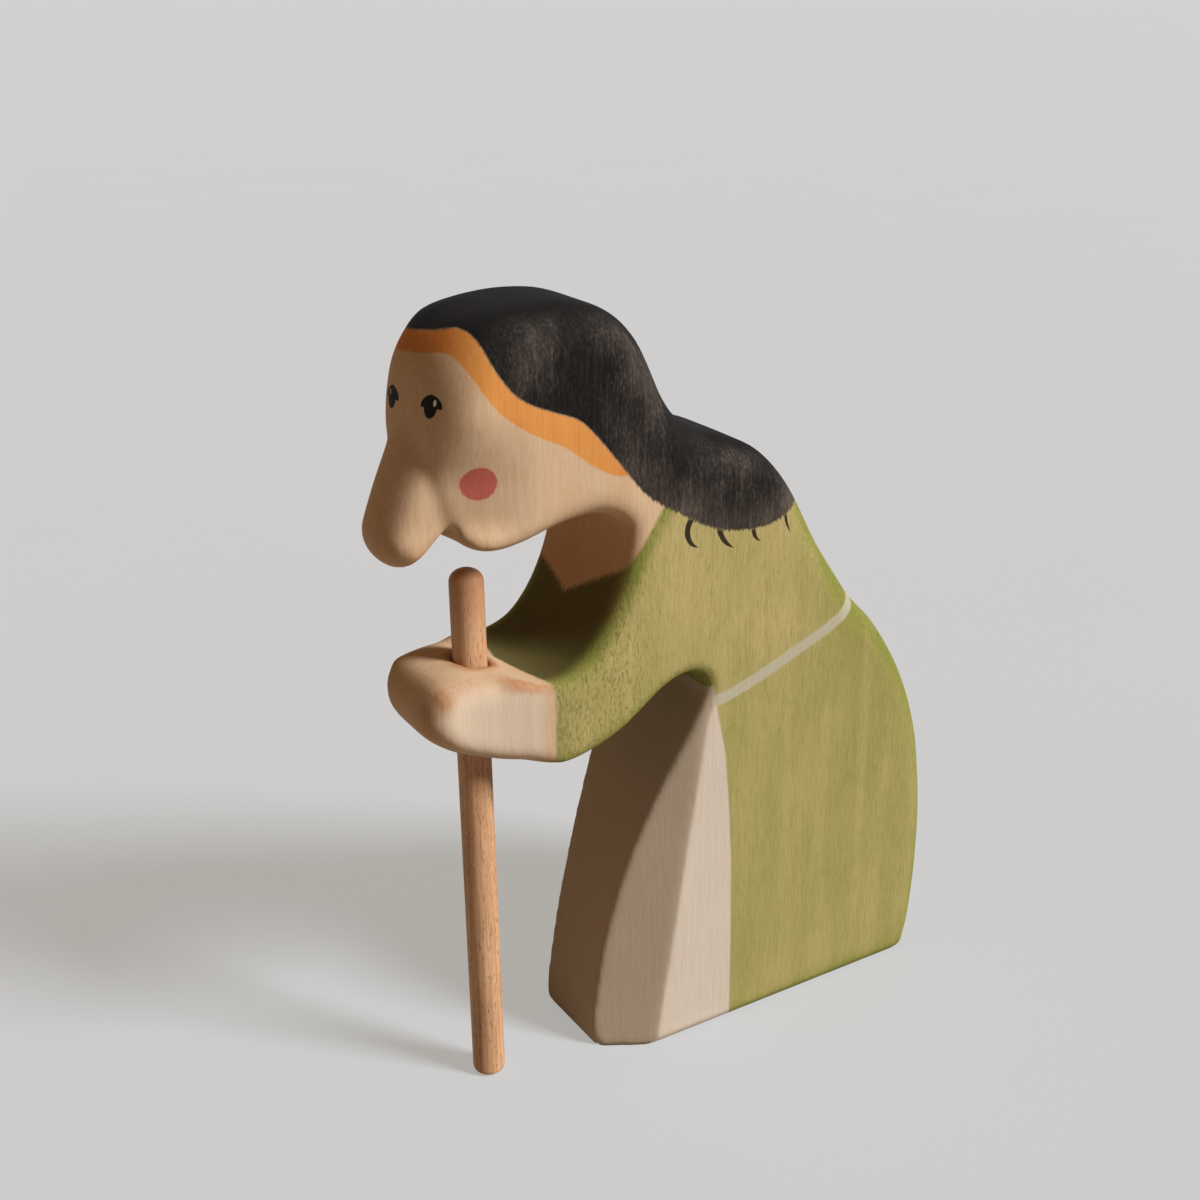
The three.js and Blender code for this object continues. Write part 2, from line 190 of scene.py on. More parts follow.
# Weak light from the side away from the window and from its own side, and the background past the table.
SHADE_FILL = (0.3, 0.18, 0.076)
WINDOW_FILL = (0.016, 0.01, 0.004)
BACKGROUND = (0.62, 0.605, 0.59)

# The table: its side in metres, the colour of the light it throws back at the figure, and the shares of its
# own colour and of its haze that are seen.
TABLE_SIDE = 60
TABLE_BOUNCE = (0.36, 0.315, 0.26)
TABLE_SHARE = 0.28
HAZE_SHARE = 0.46

# The camera, in metres, with its lens and sensor in millimetres.
CAMERA_PLACE = (0.1871, -0.1271, 0.1623)
CAMERA_AHEAD = (-0.788, 0.489, -0.375)
CAMERA_LENS = 48
CAMERA_SENSOR = 36
CAMERA_NEAREST = 0.01

# Sockets of a colour's Mix node.
MIX_UNDER, MIX_COVER, MIX_RESULT = 6, 7, 2


def tint(code):
    """Linear red, green and blue of a six-digit colour code."""
    shares = [int(code[at:at + 2], 16) / 255 for at in (0, 2, 4)]
    return tuple(c / 12.92 if c <= 0.04045 else ((c + 0.055) / 1.055) ** 2.4 for c in shares)


def paint_pot(name, description, code):
    """A colour that the user may change."""
    return bpy.props.FloatVectorProperty(
        name=name, description=description, default=tint(code), size=3, min=0, max=1, subtype="COLOR")


def length(name, description, millimetres):
    """A length that the user may change."""
    return bpy.props.FloatProperty(
        name=name, description=description, default=millimetres * MM, min=0, precision=5, unit="LENGTH")


def passes(name, description, count):
    """A number of sanding passes that the user may change."""
    return bpy.props.IntProperty(name=name, description=description, default=count, min=0, max=60)


class WitchShape(bpy.types.PropertyGroup):
    """Sizes of the sanded wood and of what is painted on it."""

    figure_step: length("Figure step", "Spacing of the points on the sanded figure", 0.52)
    stick_step: length("Stick step", "Spacing of the points on the sanded stick", 0.3)
    unevenness: length("Unevenness", "Depth of the shallow hollows that hand sanding leaves", 0.22)
    hollow_width: length("Hollow width", "Width of those hollows", 15)
    bore_margin: length("Bore margin", "Wood round the drilled hole that is left unsanded", 1.2)
    eye_spacing: length("Eye spacing", "Distance between the middles of the eyes", 10.3)
    eye_height: length("Eye height", "Height of the middle of the eyes above the table", 108.2)
    cheek_width: length("Cheek width", "Diameter of the red dot on each cheek", 4.7)
    string_width: length("String width", "Width of the painted apron string", 1.9)
    soft_passes: passes("Soft passes", "Further sanding passes over head, arms and hands", 9)
    light_passes: passes("Light passes", "Sanding passes over the whole figure", 9)
    stick_passes: passes("Stick passes", "Sanding passes over the stick", 6)


class WitchPaint(bpy.types.PropertyGroup):
    """Colours of the wood, the water paints and the table, some of them also laid on as painted shade."""

    skin: paint_pot("Skin wood", "Bare pale wood of face and hands", "cfb395")
    skin_grain: paint_pot("Skin grain", "Darker grain in the bare wood", "bf9871")
    # Paler wood on the sides of the hands than on their front and top.
    hand: paint_pot("Hand wood", "Paler, well scrubbed wood on the sides of the hands", "e1ceb8")
    # Brown of rubbed ridges, also laid on as painted shade on the forward faces of face and neck and on the
    # throat.
    burnish_and_shade: paint_pot("Burnish", "Brown of rubbed ridges and of the throat", "a86c3c")
    apron: paint_pot("Apron", "Thin white wash of the apron", "c9bdb0")
    # Painted shade: this darker brown is laid on the apron's front and bevels where they face forwards.
    apron_front_shade: paint_pot("Apron front", "Wood that shows through the wash of the apron's front", "a48f76")
    apron_grain: paint_pot("Apron grain", "Grain under the apron's wash", "c0a68c")
    dress: paint_pot("Dress", "Olive wash of the dress", "9d955a")
    dress_ochre: paint_pot("Thin dress wash", "Wood that shows through the dress", "b7a671")
    dress_green: paint_pot("Thick dress wash", "Green where the dress paint gathers", "838540")
    dress_dash: paint_pot("Dress fibres", "Paint held in the fibres of the dress", "68662f")
    # Painted shade: this brown-green darkens the hollow of the chest.
    dress_chest_shade: paint_pot("Deep dress wash", "Brown-green of the paint in the hollow of the chest", "463926")
    string: paint_pot("String", "Grey-white apron string", "b3ad99")
    kerchief: paint_pot("Kerchief", "Charcoal of the kerchief", "151414")
    kerchief_brown: paint_pot("Thin kerchief", "Brown that shows through the charcoal", "625850")
    band: paint_pot("Band", "Orange band under the kerchief's edge", "d8934c")
    # This darker orange is partly where the band's paint gathers and partly painted shade on its front.
    band_deep_and_shade: paint_pot("Deep band", "Darker orange where the band's paint gathers", "c47432")
    cheek: paint_pot("Cheek", "Red of the cheeks", "b4564e")
    eye: paint_pot("Eye", "Dark brown of eyes and fringe", "1d1714")
    spark: paint_pot("Spark", "White spark in the eyes", "efe9e2")
    stick: paint_pot("Stick", "Reddish beech of the stick", "d4aa83")
    stick_grain: paint_pot("Stick grain", "Darker grain of the stick", "b07d58")
    stick_pore: paint_pot("Stick pores", "Short dark pores of the stick", "5f3a22")
    table: paint_pot("Table", "Pale table that the figure stands on", "e2e8f8")
    table_haze: paint_pot("Table haze", "Paleness of the table where the figure's shadow falls", "eeede8")


class Wire:
    """One output of a node, which takes part in sums."""

    def __init__(self, tree, socket=None):
        self.tree = tree
        self.socket = socket

    def node(self, kind, settings=None, sockets=None, out=0):
        """A new node: first its settings, then its sockets' values or links. Gives one of its outputs."""
        made = self.tree.nodes.new(kind)
        for name, value in (settings or {}).items():
            setattr(made, name, value)
        for name, value in (sockets or {}).items():
            if isinstance(value, Wire):
                self.tree.links.new(value.socket, made.inputs[name])
            else:
                made.inputs[name].default_value = value
        return Wire(self.tree, made.outputs[out])

    def sum(self, operation, *terms):
        """The terms put through one Math node."""
        return self.node("ShaderNodeMath", {"operation": operation}, dict(enumerate(terms)))

    def __add__(self, other):
        return self.sum("ADD", self, other)

    __radd__ = __add__

    def __sub__(self, other):
        return self.sum("SUBTRACT", self, other)

    def __rsub__(self, other):
        return self.sum("SUBTRACT", other, self)

    def __mul__(self, other):
        return self.sum("MULTIPLY", self, other)

    __rmul__ = __mul__

    def __truediv__(self, other):
        return self.sum("DIVIDE", self, other)

    def __rtruediv__(self, other):
        return self.sum("DIVIDE", other, self)

    def __pow__(self, other):
        return self.sum("POWER", self, other)

    def __rpow__(self, other):
        return self.sum("POWER", other, self)

    def __abs__(self):
        return self.sum("ABSOLUTE", self)

    def least(self, other):
        """The lesser of two values."""
        return self.sum("MINIMUM", self, other)

    def most(self, other):
        """The greater of two values."""
        return self.sum("MAXIMUM", self, other)

    def rise(self, low, high):
        """0 below low and 1 above high, with a soft change between."""
        return self.node(
            "ShaderNodeMapRange", {"interpolation_type": "SMOOTHSTEP"},
            {"Value": self, "From Min": low, "From Max": high})

    def fall(self, low, high):
        """1 below low and 0 above high, with a soft change between."""
        return 1 - self.rise(low, high)

    def stretched(self, along_x, along_y, along_z):
        """This vector times a factor along each axis."""
        factors = (along_x, along_y, along_z)
        return self.node("ShaderNodeVectorMath", {"operation": "MULTIPLY"}, {0: self, 1: factors})

    def noise(self, detail, roughness):
        """Noise at this place, about 0.5, with features about one unit wide."""
        return self.node(
            "ShaderNodeTexNoise", {}, {"Vector": self, "Scale": 1, "Detail": detail, "Roughness": roughness})

    def over(self, under, cover):
        """Colour under with colour cover laid on it where this mask is 1."""
        tones = {0: self}
        for at, tone in ((MIX_UNDER, under), (MIX_COVER, cover)):
            tones[at] = tone if isinstance(tone, Wire) else (*tone, 1)
        return self.node("ShaderNodeMix", {"data_type": "RGBA"}, tones, out=MIX_RESULT)


class Grain:
    """Places and wood grain that the paints of one piece share, in millimetres on the piece."""

    def __init__(self, name):
        self.material = bpy.data.materials.new(name)
        self.material.use_nodes = True
        tree = self.material.node_tree
        self.shader = tree.nodes["Principled BSDF"]
        self.start = Wire(tree)
        metres = self.start.node("ShaderNodeTexCoord", out="Object")
        self.place = metres.stretched(1 / MM, 1 / MM, 1 / MM)
        self.x, self.y, self.z = (
            self.start.node("ShaderNodeSeparateXYZ", {}, {0: self.place}, out=axis) for axis in "XYZ")

    def field(self, name):
        """A measure kept on the points of the piece."""
        return self.start.node("ShaderNodeAttribute", {"attribute_name": name}, out="Fac")

    def streaks(self, across, along, detail, roughness):
        """Noise with so many features to the millimetre across and along the upright grain."""
        return self.place.stretched(across, across, along).noise(detail, roughness)

    def finish(self, colour, roughness, height, depth, specular):
        """Colour, roughness and a relief of the given depth in millimetres on the piece's surface."""
        links = self.material.node_tree.links
        relief = {"Height": height, "Distance": depth * MM, "Strength": 0.6}
        bump = self.start.node("ShaderNodeBump", {}, relief)
        links.new(colour.socket, self.shader.inputs["Base Color"])
        links.new(roughness.socket, self.shader.inputs["Roughness"])
        links.new(bump.socket, self.shader.inputs["Normal"])
        self.shader.inputs["Specular IOR Level"].default_value = specular
        return self.material


def softened(line, rounds):
    """The line with its corners cut a number of times, its ends kept."""
    line = np.array(line, float)
    for _ in range(rounds):
        early = line[:-1] * 0.75 + line[1:] * 0.25
        late = line[:-1] * 0.25 + line[1:] * 0.75
        line = np.vstack([line[:1], np.stack([early, late], 1).reshape(-1, 2), line[-1:]])
    return line


def from_line(y, z, line):
    """Distance of each point from a line."""
    near = np.full(len(y), np.inf)
    for start, end in zip(line[:-1], line[1:]):
        span = end - start
        share = np.clip(((y - start[0]) * span[0] + (z - start[1]) * span[1]) / span.dot(span), 0, 1)
        near = np.minimum(near, np.hypot(y - start[0] - share * span[0], z - start[1] - share * span[1]))
    return near


def above_line(y, z, line):
    """Distance of each point from a line, below 0 under it."""
    return np.where(z > np.interp(y, line[:, 0], line[:, 1]), 1, -1) * from_line(y, z, line)


def along(values, line):
    """Second number of a line's corners at the values of the first, with straight runs between."""
    return np.interp(values, *np.array(line).T)


def smoothstep(values, low, high):
    """0 below low and 1 above high, with a soft change between."""
    share = np.clip((values - low) / (high - low), 0, 1)
    return share * share * (3 - 2 * share)


def between(values, start, end):
    """1 between the two ranges start and end, with a soft change over each of them."""
    return smoothstep(values, *start) * (1 - smoothstep(values, *end))


def places(mesh):
    """Places of a mesh's points in millimetres, as rows."""
    found = np.empty(len(mesh.vertices) * 3, np.float32)
    mesh.vertices.foreach_get("co", found)
    return found.reshape(-1, 3).astype(float) / MM


def put(mesh, place):
    """Moves a mesh's points to places in millimetres."""
    mesh.vertices.foreach_set("co", (place * MM).astype(np.float32).ravel())


def normals(mesh):
    """Directions in which a mesh's points face, as rows."""
    found = np.empty(len(mesh.vertices) * 3, np.float32)
    mesh.vertex_normals.foreach_get("vector", found)
    return found.reshape(-1, 3).astype(float)


def edge_ends(mesh):
    """The two points of each edge, as rows."""
    found = np.empty(len(mesh.edges) * 2, np.int32)
    mesh.edges.foreach_get("vertices", found)
    return found.reshape(-1, 2)


def spread(values, ends, rounds):
    """Values at the points, averaged with their neighbours a number of times."""
    count = np.bincount(ends.ravel(), minlength=len(values))
    for _ in range(rounds):
        total = np.bincount(ends[:, 0], values[ends[:, 1]], len(values))
        total += np.bincount(ends[:, 1], values[ends[:, 0]], len(values))
        values = 0.5 * values + 0.5 * total / count
    return values


def keep(mesh, name, values):
    """Stores one number for each point of a mesh."""
    mesh.attributes.new(name, "FLOAT", "POINT").data.foreach_set("value", values.astype(np.float32))


def take(piece):
    """Selects one piece alone."""
    bpy.ops.object.select_all(action="DESELECT")
    piece.select_set(True)
    bpy.context.view_layer.objects.active = piece


def blank(node, name):
    """A new piece with the shape of a sawn node, its loose faces joined up."""
    mesh = frame["nodes"][node].data.copy()
    mesh.name = name
    mesh.materials.clear()
    piece = bpy.data.objects.new(name, mesh)
    bpy.context.scene.collection.objects.link(piece)
    take(piece)
    bpy.ops.object.mode_set(mode="EDIT")
    bpy.ops.mesh.select_all(action="SELECT")
    bpy.ops.mesh.remove_doubles(threshold=JOINT_GAP * MM)
    bpy.ops.object.mode_set(mode="OBJECT")
    return piece


def work(piece, kind, **settings):
    """Adds one modifier to a piece and applies it."""
    tool = piece.modifiers.new(kind.lower(), kind)
    for name, value in settings.items():
        setattr(tool, name, value)
    take(piece)
    bpy.ops.object.modifier_apply(modifier=tool.name)


def even_out(piece, step):
    """Rebuilds a piece's surface with points so far apart."""
    work(piece, "REMESH", mode="VOXEL", voxel_size=step, adaptivity=0)


def sand(piece, count, **limits):
    """Sands a piece with a number of passes."""
    work(piece, "SMOOTH", factor=SANDING, iterations=count, **limits)


def weigh(piece, name, weights):
    """A point group with a weight for each point."""
    group = piece.vertex_groups.new(name=name)
    steps = np.round(weights * WEIGHT_STEPS).astype(int)
    for step in np.unique(steps):
        group.add(np.flatnonzero(steps == step).tolist(), step / WEIGHT_STEPS, "REPLACE")


def off_bore(place, shape):
    """0 on the wall of the drilled hole, which lies on the stick's axis, rising to 1 a little way out."""
    low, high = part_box("walking_stick")
    axis = np.array(Vector(frame["joints"][0]["axis"]).normalized())
    arm = place * MM - np.array((low + high) / 2)
    away = np.linalg.norm(arm - np.outer(arm @ axis, axis), axis=1)
    bore = (high.y - low.y) / 2
    return smoothstep(away, bore + shape.bore_margin, bore + 3 * shape.bore_margin)


def hollows(width):
    """Soft noise that leaves shallow hollows in sanded wood."""
    texture = bpy.data.textures.new("hollows", "CLOUDS")
    texture.noise_scale = width
    texture.noise_depth = 1
    return texture


def pare_face(place):
    """Pares the cheeks away towards the nose, flattens the nose's sides and hollows its underside."""
    x, y, z = place.T.copy()
    proud = np.abs(x) - along(y, FACE_TAPER)
    pared = between(z, FACE_START, FACE_END) * (proud + np.hypot(proud, FACE_SOFTNESS)) / 2
    tip = smoothstep(-y, *TIP_FORWARDS) * (1 - smoothstep(z, *TIP_UPWARDS))
    place[:, 0] -= np.sign(x) * pared
    place[:, 2] -= NOSE_DROP * tip
    nose = (z > NOSE_LOW) & (z < NOSE_HIGH)
    place[:, 2] = np.where(nose, np.maximum(place[:, 2], along(y, NOSE_UNDERSIDE)), place[:, 2])


def round_heel(place):
    """Rounds off the skirt's lower back corner."""
    low = 1 - smoothstep(place[:, 2], *HEEL_UPWARDS)
    place[:, 1] -= HEEL_ROUNDING * low * smoothstep(place[:, 1], *HEEL_BACKWARDS)


def square_hands(place, free):
    """Squares up the sides of the hands where the points are free to move."""
    x, y, z = place.T
    hands = smoothstep(-y, *HANDS_FORWARDS) * between(z, HANDS_BOTTOM, HANDS_TOP) * free
    slice_of = np.clip(np.round(-y), HAND_SLICES[0], HAND_SLICES[-1]).astype(int)
    widest = np.zeros(len(HAND_SLICES))
    np.maximum.at(widest, slice_of[hands > 0], np.abs(x)[hands > 0])
    half = np.maximum(np.interp(-y, HAND_SLICES, widest), 1)
    share = np.clip(np.abs(x) / half, 0, 1)
    place[:, 0] += hands * np.sign(x) * half * HAND_SQUARING * share ** 3 * (1 - share)


def sand_figure(piece, shape):
    """Pares the figure and takes off its saw marks: lightly on the skirt, round on head, arms and hands."""
    even_out(piece, shape.figure_step)
    place = places(piece.data)
    free = off_bore(place, shape)
    pare_face(place)
    round_heel(place)
    square_hands(place, free)
    put(piece.data, place)
    even_out(piece, shape.figure_step)
    place = places(piece.data)
    y, z = place[:, 1], place[:, 2]
    off_table = smoothstep(z, *FOOT_RANGE)
    free = off_bore(place, shape) * off_table
    upper = smoothstep(z - UPPER_LEAN * y, *UPPER_RANGE)
    hands = smoothstep(-y, *CRISP_FORWARDS) * (1 - smoothstep(z, *CRISP_TOP))
    weigh(piece, "sanded", free)
    weigh(piece, "rounded", free * upper * (1 - CRISPNESS * hands))
    weigh(piece, "foot", 1 - off_table)
    sand(piece, FOOT_PASSES * shape.light_passes, use_z=False, vertex_group="foot")
    sand(piece, shape.light_passes, vertex_group="sanded")
    sand(piece, shape.soft_passes, vertex_group="rounded")
    work(piece, "DISPLACE", texture=hollows(shape.hollow_width), texture_coords="LOCAL", mid_level=1,
         strength=shape.unevenness, vertex_group="sanded")
    piece.vertex_groups.clear()
    place = places(piece.data)
    place[place[:, 2] < FOOT_FLAT, 2] = 0
    put(piece.data, place)
    bpy.ops.object.shade_smooth()


def mark_figure(mesh):
    """Measures for each point how far it lies from the painted lines and how the wood turns there."""
    place = places(mesh)
    x, y, z = place.T
    normal = normals(mesh)
    ends = edge_ends(mesh)
    sunk = BROW_SLOPE * np.clip(BROW_NEAR - x, 0, BROW_WIDTH) * np.clip((BROW_BACK - y) / BROW_RAMP, 0, 1)
    kerchief = above_line(y, z + sunk, softened(KERCHIEF_EDGE, 2))
    keep(mesh, "kerchief", kerchief)
    keep(mesh, "band", np.minimum(-kerchief, above_line(y, z + sunk, softened(BAND_EDGE, 2))))
    low_x, low_y, low_z = NECKLINE_LOW
    offs = (x - low_x, low_x - x, y - low_y)
    neckline = low_z + sum(slope * np.maximum(0, off) for slope, off in zip(NECKLINE_SLOPES, offs))
    keep(mesh, "neck", (z - neckline) * NECKLINE_SQUARE)
    keep(mesh, "hands", CUFF_Y - CUFF_LEAN * (ARM_HALF_WIDTH - np.abs(x)) - y)
    under_arm = (ARM_UNDERSIDE[1] + (y - ARM_UNDERSIDE[0]) * ARM_SLOPE - z) * ARM_SQUARE
    apron = np.minimum(along(z, APRON_EDGE) - y, under_arm)
    keep(mesh, "apron", np.minimum(apron, APRON_TOP - z))
    keep(mesh, "string", from_line(y, z, softened(STRING_LINE, 3)))
    keep(mesh, "front", spread(np.maximum(0, -normal[:, 1]), ends, FRONT_ROUNDS))
    keep(mesh, "rim", spread(1 - np.abs(normal[:, 0]), ends, RIM_ROUNDS))
    keep(mesh, "ridge", ridges(place, normal, ends))


def ridges(place, normal, ends):
    """How far each point stands out over its surroundings: above 0 on ridges, below 0 in hollows."""
    around = np.stack([spread(place[:, axis], ends, AROUND_ROUNDS) for axis in range(3)], 1)
    return spread(((place - around) * normal).sum(1), ends, RIDGE_ROUNDS)


def bare_wood(grain, paint):
    """Pale close-grained wood: paler on the sides of the hands and browner on rubbed ridges, with painted
    shade in the same brown on the forward faces of face and neck, most on the throat.
    """
    streak = grain.fibre.rise(0.34, 0.72) * 0.32 + grain.hair.rise(0.42, 0.75) * 0.26
    streak = streak + grain.cloud.rise(0.4, 0.7) * 0.25
    wood = streak.over(paint.skin, paint.skin_grain)
    under_chin = grain.z.fall(76, 80)
    # Paler wood on the sides of the hands than on their front and top.
    lightened = grain.field("hands").rise(0, 3) * under_chin * grain.field("rim").fall(0.15, 0.6)
    wood = (lightened * 0.82).over(wood, paint.hand)
    # Painted shade: bare wood that faces forwards on the face and neck is browned, more so on the throat.
    throat = grain.z.fall(88, 94) * grain.y.rise(-24, -20)
    forward_shade = grain.field("front").rise(0.2, 0.8) * grain.z.rise(72, 78) * (0.12 + throat * 0.26)
    wood = forward_shade.over(wood, paint.burnish_and_shade)
    worn = grain.field("ridge").rise(0.035, 0.16) * (0.4 + grain.fibre * 0.5) * (0.3 + under_chin * 0.7)
    return worn.over(wood, paint.burnish_and_shade)


def apron_wash(grain, paint):
    """Thin white wash with the grain showing through, and a darker brown on the front as painted shade."""
    streak = grain.fibre.rise(0.36, 0.7) * 0.32 + grain.hair.rise(0.45, 0.75) * 0.22
    # Painted shade: the wash gives way to a darker brown where the wood faces forwards.
    mix_share = grain.field("front").rise(0.05, 0.32) * 0.72
    return mix_share.over(streak.over(paint.apron, paint.apron_grain), paint.apron_front_shade)


def dress_wash(grain, paint):
    """Olive water paint: thinly washed on the sides, thick along edges and dashed in the fibres, with a dark
    brown-green laid in the hollow of the chest as painted shade.
    """
    rim = grain.field("rim")
    mix_share = grain.wash.rise(0.38, 0.66) * 0.38 + grain.cloud.rise(0.4, 0.65) * 0.35
    mix_share = mix_share + grain.z.rise(56, 68) * 0.3
    colour = (mix_share - rim * 0.7).over(paint.dress, paint.dress_ochre)
    back = grain.y.rise(10, 30) * (0.16 + grain.z.rise(48, 70) * 0.16)
    collar = grain.field("neck").rise(-5, -0.5) * 0.45
    gathered = (rim * 1.2 + back + collar + grain.cloud * 0.2 + grain.fuzz * 0.3 - 0.24).rise(0.06, 0.55)
    colour = (gathered * (0.95 - grain.wash.rise(0.42, 0.66) * 0.3)).over(colour, paint.dress_green)
    rough = rim.rise(0.04, 0.3).most(grain.y.fall(-16, -6)).most(collar * 2)
    rough = rough * (0.4 + grain.z.rise(20, 70) * 0.6) * (1 - rim.rise(0.5, 0.95) * 0.5)
    dashed = grain.hair.rise(0.54, 0.72) * (0.12 + grain.z.rise(40, 66) * 0.26)
    dashed = dashed + grain.thread.rise(0.42, 0.7) * 0.3 + grain.fuzz.rise(0.48, 0.64) * rough * 0.62
    colour = dashed.over(colour, paint.dress_dash)
    # Painted shade: the hollow of the chest between the neck and the arms is darkened.
    chest = rim.rise(0.5, 0.9) * grain.y.fall(-7, -1) * grain.z.rise(60, 66)
    return (chest * 0.75).over(colour, paint.dress_chest_shade)


def kerchief_wash(grain, paint):
    """Charcoal paint, brushed dry so that brown wood shows through in upright streaks and near the hem."""
    dry = grain.fibre.rise(0.46, 0.78) * 0.35 + grain.hair.rise(0.5, 0.75) * 0.25
    dry = dry + grain.fuzz.rise(0.46, 0.68) * 0.4
    patch = (grain.cloud.rise(0.34, 0.62) * 0.8 + 0.25) * (1 - grain.field("rim").rise(0.25, 0.7) * 0.95)
    hem = grain.field("kerchief").fall(0, 6) * grain.y.rise(-16, -8) * 0.45
    haze = grain.cloud.rise(0.42, 0.7) * 0.3
    return ((dry + haze) * patch + hem * grain.fibre).over(paint.kerchief, paint.kerchief_brown)


def band_paint(grain, paint):
    """Orange band, darker where its paint gathers, and with painted shade on the faces turned away from the
    sides.
    """
    deep = grain.cloud.rise(0.35, 0.7) * 0.4 + grain.fibre.rise(0.4, 0.7) * 0.25
    # Painted shade: the band is darkened on faces turned away from the sides.
    deep = deep + grain.field("rim").rise(0.3, 0.8) * 0.6
    return deep.over(paint.band, paint.band_deep_and_shade)


def disc(across, up, wide, tall):
    """Above 0 inside an upright oval of that half width and height, in shares of its size."""
    return 1 - ((across / wide) ** 2 + (up / tall) ** 2) ** 0.5


def eye_masks(grain, shape):
    """The dark of the eyes, a shield under a drooping lash, and their white sparks. The far eye is wider."""
    middle = grain.x - EYES_MIDDLE
    far = middle.fall(-0.1, 0.1)
    across = (abs(middle) - shape.eye_spacing / MM / 2 + far * FAR_SHIFT) / (1 + far * FAR_WIDENING)
    up = grain.z - shape.eye_height / MM - middle * EYES_LEAN + far * FAR_DROP
    front = grain.y.fall(-24, -20)
    lash = disc(across, up + 0.1, *EYE_LASH).least(up * 1.2 + 0.3)
    dark = disc(across, up, *EYE_DARK).most(lash).rise(-0.02, 0.1)
    spark = disc(across - SPARK_PLACE[0], up - SPARK_PLACE[1], *EYE_SPARK).rise(0, 0.3)
    return dark * front, spark * front * (1 - far * FAR_LOSS)


def cheek_mask(grain, shape):
    """A round dot on each cheek."""
    off = ((grain.y - CHEEK_PLACE[0]) ** 2 + (grain.z - CHEEK_PLACE[1]) ** 2) ** 0.5
    return (shape.cheek_width / MM / 2 - off + (grain.hair - 0.5) * 0.35).rise(-0.12, 0.2)


def fringe_mask(grain):
    """Short hooked strokes that hang from the kerchief's hem on both sides."""
    mask = None
    for centre_y, centre_z, radius, first, last, width in FRINGE:
        ahead, under = centre_y - grain.y, centre_z - grain.z
        turn = ahead.sum("ARCTAN2", under, ahead)
        share = (turn - math.radians(first)) / math.radians(last - first)
        off = abs((ahead ** 2 + under ** 2) ** 0.5 - radius)
        stroke = (width * (1 - share.most(0) ** 3) - off).least(share + 0.05).least(1 - share)
        mask = stroke if mask is None else mask.most(stroke)
    return (mask + (grain.hair - 0.5) * 0.12).rise(-0.06, 0.1) * abs(grain.x).rise(8, 9)


def paint_figure(shape, paint):
    """Water paint and bare wood of the figure."""
    grain = Grain("painted_limewood")
    grain.fibre = grain.streaks(1.7, 0.09, 4, 0.6)
    grain.hair = grain.streaks(5.2, 0.6, 3, 0.6)
    grain.thread = grain.streaks(6, 0.35, 3, 0.6)
    grain.fuzz = grain.streaks(3, 1, 4, 0.7)
    grain.wash = grain.streaks(0.3, 0.022, 3, 0.55)
    grain.cloud = grain.streaks(0.11, 0.07, 3, 0.5)
    wobble = (grain.hair - 0.5) * 0.8 + (grain.fibre - 0.5) * 0.6

    def inside(field, ragged, soft):
        """1 inside a painted line, whose edge is ragged and soft by so many millimetres."""
        return (field + wobble * ragged).rise(-soft, soft)

    kerchief = inside(grain.field("kerchief"), 0.3 + grain.y.rise(-18, -6) * 1.1, 0.22)
    bare = inside(grain.field("neck"), 1.7, 0.5).most(inside(grain.field("hands"), 0.9, 0.35))
    apron = inside(grain.field("apron"), 0.25, 0.2)
    string = inside(shape.string_width / MM / 2 - grain.field("string"), 0.35, 0.2)
    band = inside(grain.field("band"), 0.3, 0.16)
    dark, spark = eye_masks(grain, shape)
    colour = bare.over(dress_wash(grain, paint), bare_wood(grain, paint))
    colour = apron.over(colour, apron_wash(grain, paint))
    colour = (string * (0.72 + grain.fibre * 0.3)).over(colour, paint.string)
    colour = (band * 0.96).over(colour, band_paint(grain, paint))
    colour = (cheek_mask(grain, shape) * (0.86 + grain.hair * 0.12)).over(colour, paint.cheek)
    colour = kerchief.over(colour, kerchief_wash(grain, paint))
    colour = (fringe_mask(grain) * (1 - kerchief) * 0.95).over(colour, paint.eye)
    colour = spark.over(dark.over(colour, paint.eye), paint.spark)
    roughness = 0.62 + grain.fibre * 0.14 + grain.cloud * 0.08 + kerchief * 0.03
    height = grain.fibre * 0.6 + grain.hair * 0.4
    return grain.finish(colour, roughness, height, depth=0.1, specular=0.08)


def paint_stick(paint):
    """Bare beech with reddish grain and short dark pores along it, darker at the handled end."""
    grain = Grain("bare_beech")
    fibre = grain.streaks(2.4, 0.05, 4, 0.6)
    pores = grain.streaks(6.5, 0.8, 2, 0.5)
    cloud = grain.streaks(0.2, 0.06, 2, 0.5)
    streak = fibre.rise(0.34, 0.7) * 0.7 + cloud.rise(0.4, 0.65) * 0.25
    colour = streak.over(paint.stick, paint.stick_grain)
    colour = (pores.rise(0.58, 0.7) * 0.75).over(colour, paint.stick_pore)
    colour = (grain.z.rise(72, 81) * 0.8).over(colour, paint.stick_grain)
    roughness = 0.5 + fibre * 0.2
    height = fibre * 0.5 - pores.rise(0.56, 0.7) * 0.5
    return grain.finish(colour, roughness, height, depth=0.08, specular=0.3)


class WITCH_OT_figure(bpy.types.Operator):
    """Sand the sawn figure and paint its face, kerchief, dress and apron"""

    bl_idname = "witch.figure"
    bl_label = "Carve and paint the figure"

    def execute(self, context):
        shape, paint = context.scene.witch_shape, context.scene.witch_paint
        piece = blank("figure", "painted_figure")
        sand_figure(piece, shape)
        mark_figure(piece.data)
        piece.data.materials.append(paint_figure(shape, paint))
        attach(piece, "figure")
        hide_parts("figure")
        return {"FINISHED"}


